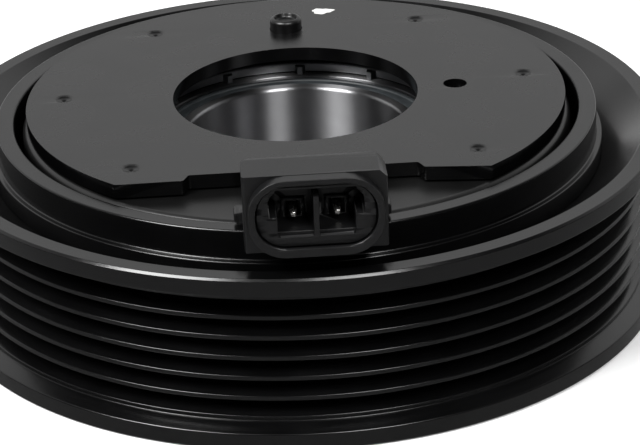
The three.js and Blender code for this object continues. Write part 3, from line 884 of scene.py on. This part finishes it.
def coil_filling(node, bore, slot, material):
    """A plain ring in the pot: the winding, or the resin over it."""
    low, high = span(node)
    band = [
        (bore, low.z, 0.3),
        (high.x, low.z, 0.3),
        (high.x, high.z, 0.3),
        (bore, high.z, 0.3),
    ]
    fit_out(turned(node + "_fine", band, steps=COIL_ROUND), "stator", slot, material, node)


def plate_outline():
    """A disc with a straight cut at the connector and a deeper notch in its middle."""
    right = math.asin((CHORD_Y - CHORD_DROP) / PLATE_HIGH.x)
    left = math.pi - math.asin(CHORD_Y / PLATE_HIGH.x)
    round_part = arc(PLATE_HIGH.x, right, left, ROUND)
    flat = [
        (NOTCH_LEFT - NOTCH_RUN, CHORD_Y, 0.5),
        (NOTCH_LEFT, NOTCH_Y, 0.5),
        (NOTCH_RIGHT, NOTCH_Y, 0.5),
        (NOTCH_RIGHT + NOTCH_RUN, CHORD_Y, 0.5),
    ]
    closing = [round_part[-1], *flat, round_part[0]]
    return round_part + rounded(closing, closed=False)[1:-1]


def stake_dish(angle):
    """The cutter for one punched stake mark: a shallow dish with a deeper pit."""
    centre = (STAKE_RING * math.sin(angle), STAKE_RING * math.cos(angle))
    profile = [
        (0, PLATE_TOP - 0.85),
        (0.55, PLATE_TOP - 0.5, 0.2),
        (1.2, PLATE_TOP - 0.35, 0.4),
        (1.75, PLATE_TOP + 0.05),
        (1.75, PLATE_TOP + PAST),
        (0, PLATE_TOP + PAST),
    ]
    return turned("dish", profile, centre, DISH_ROUND, closed=False)


def mounting_plate():
    """The stamped plate. Its cut edges and its underside have a glossier coat."""
    loops = [
        plate_outline(),
        ring(PLATE_BORE),
        ring(BREATHER_RADIUS, BREATHER_X, 0, SMALL_ROUND),
        ring(PIN_RADIUS + PIN_GAP, 0, PIN_Y, SMALL_ROUND),
    ]
    plate = slab("coil_plate", loops, PLATE_LOW.z, PLATE_TOP)
    angles = [side * math.radians(angle) for angle in STAKE_ANGLES for side in (-1, 1)]
    combine(plate, [stake_dish(angle) for angle in angles])
    soften(plate, PLATE_EDGE, angle=60)
    fit_out(plate, "stator", "plate_coat", PLATE_COAT, "mounting_plate")
    recoat(plate, EDGE_COAT, lambda at: at.z < EDGE_COAT_BELOW)


def locating_pin():
    """The dowel pin, with a dished end."""
    top = PIN_HIGH.z
    profile = [
        (0, PIN_LOW.z),
        (PIN_RADIUS, PIN_LOW.z, 0.2),
        (PIN_RADIUS, top, 0.7),
        (2.1, top - 0.05, 0.15),
        (1.8, top - 0.8, 0.5),
        (0, top - 0.95),
    ]
    pin = turned("dowel_pin", profile, (0, PIN_Y), PIN_ROUND, closed=False)
    fit_out(pin, "stator", "plate_coat", PIN_COAT, "locating_pin")


# ---------------------------------------------------------------- connector
def shroud_loop(side=0.0, above=0.0, below=0.0):
    """The shroud's outline in X and Z, drawn in by a wall at its sides, top and bottom."""
    half = SHROUD_HALF - side
    low = CONNECTOR_Z - SHROUD_HEIGHT / 2 + below
    high = CONNECTOR_Z + SHROUD_HEIGHT / 2 - above
    turn = SHROUD_CORNER - side
    return rounded([(-half, low, turn), (half, low, turn), (half, high, turn), (-half, high, turn)])


def socket_loop(side):
    """One socket in X and Z: wider above its key, on the side away from the divider."""
    divider, narrow, wide = 0.4, 6.0, 7.4
    low, key, high = -3.25, 0.1, 4.6
    corners = [
        (divider, low, 0.2),
        (narrow, low, 0.5),
        (narrow, key, 0.15),
        (wide, key, 0.3),
        (wide, high, 2.4),
        (divider, high, 0.3),
    ]
    return [(side * x, z + CONNECTOR_Z) for x, z in rounded(corners)]


def connector_block():
    """The head: a block with rounded back corners and bevels along three of its edges."""
    top_view = [
        (-BLOCK_HALF, BLOCK_FRONT, 0.5),
        (BLOCK_HALF, BLOCK_FRONT, 0.5),
        (BLOCK_HALF, BLOCK_BACK, 2.0),
        (-BLOCK_HALF, BLOCK_BACK, 2.0),
    ]
    head = slab("plug_housing", [rounded(top_view)], BLOCK_LOW, BLOCK_HIGH)
    shoulder = [
        (BLOCK_HALF - BEVEL, BLOCK_HIGH),
        (BLOCK_HALF + 0.1, BLOCK_HIGH - SHOULDER_DROP),
        (BLOCK_HALF + 2, BLOCK_HIGH),
        (BLOCK_HALF, BLOCK_HIGH + 2),
    ]
    left_corner = [
        (-BLOCK_HALF - PAST, BLOCK_LOW - PAST),
        (-BLOCK_HALF + BEVEL, BLOCK_LOW - PAST),
        (-BLOCK_HALF - PAST, BLOCK_LOW + BEVEL),
    ]
    right_corner = [(-x, z) for x, z in left_corner]
    bevels = [
        slab("bevel", [outline], BLOCK_FRONT - PAST, BLOCK_BACK + PAST, upright=True)
        for outline in (shoulder, left_corner, right_corner)
    ]
    combine(head, bevels)
    soften(head, 0.55, 4, 40)
    return head


def connector_housing():
    head = connector_block()
    back = BLOCK_FRONT + PAST
    parts = [
        slab("shroud", [shroud_loop()], SHROUD_FRONT, back, SHROUD_EDGE, upright=True, steps=5),
        brick(
            "arm",
            (-ARM_HALF, ARM_FRONT, HOUSING_LOW.z),
            (ARM_HALF, HOUSING_HIGH.y, ARM_TOP),
            HOUSING_EDGE,
        ),
        brick(
            "neck",
            (-ARM_HALF, BLOCK_BACK - PAST, BLOCK_LOW),
            (ARM_HALF, NECK_BACK, ARM_TOP),
            HOUSING_EDGE,
        ),
        brick(
            "lugs",
            (HOUSING_LOW.x, LUG_FRONT, BLOCK_LOW),
            (HOUSING_HIGH.x, LUG_BACK, LUG_TOP),
            LUG_EDGE,
        ),
    ]
    combine(head, parts, "UNION")
    combine(head, socket_cuts())
    ledges = []
    for side in (-1, 1):
        ledges.append(ledge(side))
        ledges.append(collar(side * PIN_SPACING / 2))
    combine(head, ledges, "UNION")
    fit_out(head, "stator", "connector_plastic", CONNECTOR_PLASTIC, "connector_housing")


def socket_cuts():
    """What is cut from the housing: mouth, seam, sockets, the terminals' way and a slot."""
    before = SHROUD_FRONT - PAST
    liner = SHROUD_FRONT + LINER_DEPTH
    mouth = shroud_loop(*SHROUD_WALL)
    inside = shroud_loop(*(width + SEAM_WIDTH for width in SHROUD_WALL))
    cuts = [
        slab("mouth", [mouth], before, liner, upright=True),
        slab("seam", [mouth, inside], before, liner + SEAM_DEPTH, upright=True),
    ]
    for side in (-1, 1):
        cuts.append(slab("socket", [socket_loop(side)], before, SOCKET_BACK, upright=True))
        x = side * PIN_SPACING / 2
        for name, half, front, back, low, high in TERMINAL_WAY:
            cuts.append(brick(name, (x - half, front, low), (x + half, back, high)))
    low = (-TOP_SLOT_HALF, before, TOP_SLOT_LOW)
    high = (TOP_SLOT_HALF, TOP_SLOT_BACK, TOP_SLOT_HIGH)
    cuts.append(brick("top_slot", low, high, 0.3))
    return cuts


def ledge(side):
    """A low step along the floor of one socket."""
    left, right = sorted((side * LEDGE_INNER, side * LEDGE_OUTER))
    low = (left, SHROUD_FRONT + LEDGE_START, LEDGE_LOW)
    high = (right, LEDGE_BACK, LEDGE_LOW + LEDGE_HEIGHT)
    return brick("ledge", low, high, 0.1)


def collar(x):
    """A low square collar round a pin's root, at the back of its socket."""
    outer = upright_frame(x, COLLAR_HALF, COLLAR_BELOW, COLLAR_ABOVE)
    inner = upright_frame(x, COLLAR_HOLE_HALF, COLLAR_HOLE_BELOW, COLLAR_HOLE_ABOVE)
    return slab("collar", [outer, inner], COLLAR_FRONT, COLLAR_BACK, upright=True)


def upright_frame(x, half, below, above):
    """A rectangle round a pin, in X and Z."""
    left, right = x - half, x + half
    low, high = PIN_Z - below, PIN_Z + above
    return [(left, low), (right, low), (right, high), (left, high)]


def terminals():
    """Square pins with a tapered tip, each bent down into the arm."""
    for side, name in ((-1, "left"), (1, "right")):
        node = f"connector_terminal_{name}"
        low, high = span(node)
        x = (low.x + high.x) / 2
        half = (high.x - low.x) / 2
        profile = [
            (low.y, high.z - 1.5 * half),
            (low.y, high.z - 0.5 * half),
            (low.y + TIP_LENGTH, high.z),
            (high.y, high.z),
            (high.y, low.z),
            (high.y - 2 * half, low.z),
            (high.y - 2 * half, high.z - 2 * half),
            (low.y + TIP_LENGTH, high.z - 2 * half),
        ]
        pin = slab(f"pin_{name}", [profile], x - half, x + half)
        for vertex in pin.data.vertices:
            along, up, across = vertex.co
            vertex.co = (across, along, up)
        taper_tip(pin, x * MM, low.y * MM)
        pin.data.flip_normals()
        soften(pin, 0.12, 2, 20)
        fit_out(pin, "stator", "terminal_metal", TIN, node)


def taper_tip(pin, x, tip):
    """Narrows a pin's end about its middle, x; both places are in metres."""
    for vertex in pin.data.vertices:
        if vertex.co.y < tip + TIP_END * MM:
            vertex.co.x = x + (vertex.co.x - x) * TIP_WIDTH


def white_dab():
    """A small white dab on the plate, near the pin."""
    x, y = DAB_RING * math.sin(DAB_ANGLE), DAB_RING * math.cos(DAB_ANGLE)
    outline = []
    for step in range(DAB_POINTS):
        turn = math.tau * step / DAB_POINTS
        reach = DAB_REACH * (1 + 0.16 * math.sin(3 * turn + 1) + 0.08 * math.sin(7 * turn))
        outline.append((x + 1.15 * reach * math.cos(turn), y + 0.8 * reach * math.sin(turn)))
    # The dab is a white patch from 0.05 mm under to 0.06 mm over the plate's top.
    dab = slab("white_dab", [outline], PLATE_TOP - 0.05, PLATE_TOP + 0.06, 0.05, steps=2)
    fit_out(dab, "stator", "plate_coat", WHITE_DAB)


# ---------------------------------------------------------------- hub and armature
def arm_angle(index):
    """The way that one of the hub's arms points."""
    return math.tau * index / ARMS + QUARTER


def leaf_end(index):
    """The angle of the rivet that holds a leaf spring on the armature."""
    return arm_angle(index) + LEAF_SWEEP


def spline_loop():
    """The boss's splined bore, with round-bottomed teeth."""
    pitch = math.tau / SPLINE_TEETH
    loop = []
    for tooth in range(SPLINE_TEETH):
        start = pitch * tooth
        loop += arc(SPLINE_ROOT, start, start + 0.4 * pitch, 3)
        loop += arc(SPLINE_TIP, start + 0.5 * pitch, start + 0.9 * pitch, 3)
    return loop


def hub():
    """The splined boss and the three-armed plate round it."""
    loops = [ring(BOSS_HIGH.x, steps=BOSS_ROUND), spline_loop()]
    boss = slab("splined_boss", loops, BOSS_LOW.z, BOSS_HIGH.z, 0.35, steps=2)
    fit_out(boss, "hub", "hub_steel", HUB_STEEL, "hub_boss")
    outline, holes = [], []
    for index in range(ARMS):
        angle = arm_angle(index)
        end = polar(HUB_RIVET_RING, angle)
        outline += arc(ARM_END, angle - ARM_END_HALF, angle + ARM_END_HALF, 20, *end)
        waist = angle + math.pi / ARMS
        outline += arc(WAIST, waist - WAIST_HALF, waist + WAIST_HALF, 12)
        holes.append(ring(RIVET_HOLE, *end, SMALL_ROUND))
    loops = [outline, ring(BOSS_HIGH.x + BOSS_GAP, steps=BOSS_ROUND), *holes]
    plate = slab("drive_plate", loops, HUB_LOW.z, HUB_HIGH.z, 0.4)
    fit_out(plate, "hub", "hub_steel", HUB_STEEL, "hub_plate")


def cross_cuts(piece, start, end, count):
    """Cuts across a piece, so that it can bend between two points."""
    mesh = bmesh.new()
    mesh.from_mesh(piece.data)
    for step in range(1, count):
        parts = [*mesh.verts, *mesh.edges, *mesh.faces]
        place = start.lerp(end, step / count)
        bmesh.ops.bisect_plane(mesh, geom=parts, plane_co=place, plane_no=end - start)
    mesh.to_mesh(piece.data)
    mesh.free()


def leaf_springs():
    """Flat leaves from the hub's rivets to the armature's, each cut across between its rivets; the
    real leaves bend as the armature moves.
    """
    for index in range(ARMS):
        near = polar(HUB_RIVET_RING, arm_angle(index))
        far = polar(ARMATURE_RIVET_RING, leaf_end(index))
        heading = math.atan2(far[1] - near[1], far[0] - near[0])
        outline = arc(LEAF_HALF, heading - QUARTER, heading + QUARTER, 20, *far)
        outline += arc(LEAF_HALF, heading + QUARTER, heading + 3 * QUARTER, 20, *near)
        loops = [outline] + [ring(RIVET_HOLE, *end, SMALL_ROUND) for end in (near, far)]
        leaf = slab(f"leaf_{index + 1}", loops, LEAF_LOW.z, LEAF_HIGH.z, 0.08, steps=2)
        fit_out(leaf, None, "spring_steel", SPRING_STEEL, f"leaf_spring_{index + 1}")
        fixed, free = Vector((*near, 0)) * MM, Vector((*far, 0)) * MM
        clamped = LEAF_CLAMP * MM * (free - fixed).normalized()
        cross_cuts(leaf, fixed + clamped, free - clamped, LEAF_CUTS)
        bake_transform(leaf)


def rivet(name, node, body):
    """A shank with a domed head at its foot and a flat one at its top."""
    low, high = span(node)
    centre = ((low.x + high.x) / 2, (low.y + high.y) / 2)
    head = (high.x - low.x) / 2
    profile = [
        (0, low.z),
        (head * 0.8, low.z, 0.5),
        (head, low.z + 0.55, 0.3),
        (head, low.z + RIVET_HEAD, 0.1),
        (RIVET_SHANK, low.z + RIVET_HEAD),
        (RIVET_SHANK, high.z - RIVET_HEAD),
        (head - 0.2, high.z - RIVET_HEAD, 0.1),
        (head - 0.2, high.z, 0.35),
        (0, high.z),
    ]
    piece = turned(name, profile, centre, SMALL_ROUND, closed=False)
    fit_out(piece, body, "hub_steel", HUB_STEEL, node)


def armature():
    """The disc that the coil pulls: three slots, and a sink round each rivet."""
    top = ARMATURE_HIGH.z
    loops = [ring(ARMATURE_HIGH.x), ring(ARMATURE_BORE, steps=ARMATURE_BORE_ROUND)]
    sinks = []
    for index in range(ARMS):
        near = polar(HUB_RIVET_RING, arm_angle(index))
        far = polar(ARMATURE_RIVET_RING, leaf_end(index))
        loops.append(ring(ARMATURE_CLEARANCE, *near, SMALL_ROUND))
        loops.append(ring(RIVET_HOLE, *far, SMALL_ROUND))
        start = leaf_end(index) + ARMATURE_SLOT_START
        end = leaf_end(index) + ARMATURE_SLOT_END
        outer = arc(ARMATURE_SLOT_OUTER, start, end, ARMATURE_SLOT_CUTS)
        inner = arc(ARMATURE_SLOT_INNER, end, start, ARMATURE_SLOT_CUTS)
        loops.append(outer + inner)
        sink = ring(SINK_RADIUS, *far, SMALL_ROUND)
        sinks.append(slab("sink", [sink], top - SINK_DEPTH, top + PAST))
    disc = slab("armature_disc", loops, ARMATURE_LOW.z, top)
    combine(disc, sinks)
    soften(disc, ARMATURE_EDGE, 2, 60)
    fit_out(disc, "armature", "hub_steel", ARMATURE_STEEL, "armature_plate")


# ---------------------------------------------------------------- CAD nodes that stay
def finish_cad_nodes():
    """The pieces inside the bearing and coil keep their CAD shape."""
    kept = {
        "coil_bobbin": BOBBIN_PLASTIC,
        "coil_lead_left": COPPER,
        "coil_lead_right": COPPER,
        "bearing_cage": CAGE_PLASTIC,
    }
    for node, material in kept.items():
        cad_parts[node].data.materials.clear()
        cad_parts[node].data.materials.append(material)


def balls():
    """Smooth balls, each where the CAD has it."""
    for node in sorted(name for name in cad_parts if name.startswith("bearing_ball")):
        low, high = span(node)
        centre = (low + high) / 2
        radius = (high.z - low.z) / 2
        angles = [math.pi * step / BALL_CUTS for step in range(BALL_CUTS + 1)]
        profile = [(radius * math.sin(a), centre.z - radius * math.cos(a)) for a in angles]
        profile[0], profile[-1] = (0, centre.z - radius), (0, centre.z + radius)
        name = node.replace("bearing_", "steel_")
        ball = turned(name, profile, (centre.x, centre.y), BALL_ROUND, closed=False)
        fit_out(ball, "ball_set", "bearing_steel", BEARING_STEEL, node)


# ---------------------------------------------------------------- camera, floor and light
# From here on, lengths are in metres.
AZIMUTH = math.radians(-2.7)
ELEVATION = math.radians(25.147)
ROLL = math.radians(-2.277)
DISTANCE = 0.46599
AIM = Vector((0.003378, -0.000159, 0.009965))
LENS = 147.54
SENSOR = 36
NEAREST = 0.01
LIGHTS_AIM = Vector((0, 0, 0.02))
STAGE_REACH = 3.0


def add_camera():
    """The camera that the photo was taken with, as far as its round edges tell."""
    back = Vector((
        math.sin(AZIMUTH) * math.cos(ELEVATION),
        -math.cos(AZIMUTH) * math.cos(ELEVATION),
        math.sin(ELEVATION),
    ))
    data = bpy.data.cameras.new("camera")
    data.lens = LENS
    data.sensor_width = SENSOR
    data.clip_start = NEAREST
    camera = bpy.data.objects.new("camera", data)
    bpy.context.scene.collection.objects.link(camera)
    camera.location = AIM + back * DISTANCE
    turn = back.to_track_quat("Z", "Y").to_matrix().to_4x4()
    roll = Quaternion((0, 0, 1), ROLL)
    camera.rotation_euler = (turn.to_quaternion() @ roll).to_euler()
    bpy.context.scene.camera = camera


def add_light(name, location, size, power):
    """A rectangular area light that points at the object's middle."""
    data = bpy.data.lights.new(name, "AREA")
    data.shape = "RECTANGLE"
    data.size, data.size_y = size
    data.energy = power
    light = bpy.data.objects.new(name, data)
    bpy.context.scene.collection.objects.link(light)
    light.location = location
    light.rotation_euler = (light.location - LIGHTS_AIM).to_track_quat("Z", "Y").to_euler()


def flat_sheet(name):
    """A level square at height 0, centred on the axis."""
    near, far = -STAGE_REACH, STAGE_REACH
    mesh = bpy.data.meshes.new(name)
    corners = [(near, near, 0), (far, near, 0), (far, far, 0), (near, far, 0)]
    mesh.from_pydata(corners, [], [(0, 1, 2, 3)])
    sheet = bpy.data.objects.new(name, mesh)
    bpy.context.scene.collection.objects.link(sheet)
    return sheet


def add_stage():
    """White paper for the camera, and a grey table that only shows in reflections."""
    floor = flat_sheet("floor")
    paper = Surface("studio_paper", Roughness=0.9, Emission_Strength=0.15)
    grain = paper.noise(1.5, 3)
    paper.colour(paper.tint(grain, (0.86, 0.86, 0.86), (0.9, 0.9, 0.9)))
    floor.data.materials.append(paper.material)
    floor.visible_glossy = False
    table = flat_sheet("grey_table")
    felt = Surface("table_felt", Roughness=0.9)
    nap = felt.noise(2, 3)
    felt.colour(felt.tint(nap, (0.5, 0.5, 0.5), (0.58, 0.58, 0.58)))
    table.data.materials.append(felt.material)
    table.visible_camera = False
    table.visible_diffuse = False
    table.visible_transmission = False
    table.visible_shadow = False


def add_backdrop():
    """A room that is white behind the object and dark above it and in front.

    Generated is the direction that a ray leaves in, so Y is 1 straight behind and Z is 1 overhead.
    """
    world = bpy.data.worlds.new("studio")
    bpy.context.scene.world = world
    world.use_nodes = True
    nodes, links = world.node_tree.nodes, world.node_tree.links
    background = nodes["Background"]
    background.inputs["Color"].default_value = (1, 1, 1, 1)
    place = nodes.new("ShaderNodeTexCoord")
    split = nodes.new("ShaderNodeSeparateXYZ")
    links.new(place.outputs["Generated"], split.inputs[0])

    def fade(output, start, end, first, last):
        """Runs smoothly from first to last while Y or Z goes from start to end."""
        made = nodes.new("ShaderNodeMapRange")
        made.interpolation_type = "SMOOTHSTEP"
        made.inputs["From Min"].default_value = start
        made.inputs["From Max"].default_value = end
        made.inputs["To Min"].default_value = first
        made.inputs["To Max"].default_value = last
        links.new(split.outputs[output], made.inputs["Value"])
        return made.outputs["Result"]

    def combined(operation, first, second):
        made = nodes.new("ShaderNodeMath")
        made.operation = operation
        links.new(first, made.inputs[0])
        links.new(second, made.inputs[1])
        return made.outputs[0]

    upper = combined("MULTIPLY", fade("Z", 0.34, 0.5, 0.48, 0.92), fade("Z", 0.6, 0.95, 1.0, 0.15))
    both = combined("ADD", upper, fade("Z", 0.08, 0.32, 0.5, 0.0))
    wall = combined("MULTIPLY", fade("Y", -0.1, 0.5, 0.02, 1.0), both)
    ceiling = fade("Z", 0.9, 0.97, 0.0, 0.16)
    links.new(combined("ADD", wall, ceiling), background.inputs["Strength"])


def add_studio():
    add_stage()
    add_backdrop()
    add_light("softbox_left", location=(-0.66, -0.41, 0.92), size=(0.46, 0.6), power=19)
    add_light("softbox_right", location=(0.27, -0.72, 0.92), size=(0.34, 0.6), power=9)
    bpy.context.scene.view_settings.view_transform = "Standard"


# ---------------------------------------------------------------- build
add_camera()
add_studio()
belt_rim()
rotor_body()
bearing()
bearing_seal("rear_seal", "bearing_seal_rear", 1)
bearing_seal("front_seal", "bearing_seal_front", -1)
coil_pot()
coil_filling("coil_winding", WINDING_BORE, "copper", COPPER)
coil_filling("coil_potting", POTTING_BORE, "potting_resin", POTTING_RESIN)
mounting_plate()
locating_pin()
connector_housing()
terminals()
white_dab()
hub()
leaf_springs()
for number in (1, 2, 3):
    rivet(f"inner_rivet_{number}", f"hub_rivet_{number}", "hub")
    rivet(f"outer_rivet_{number}", f"armature_rivet_{number}", "armature")
armature()
balls()
finish_cad_nodes()
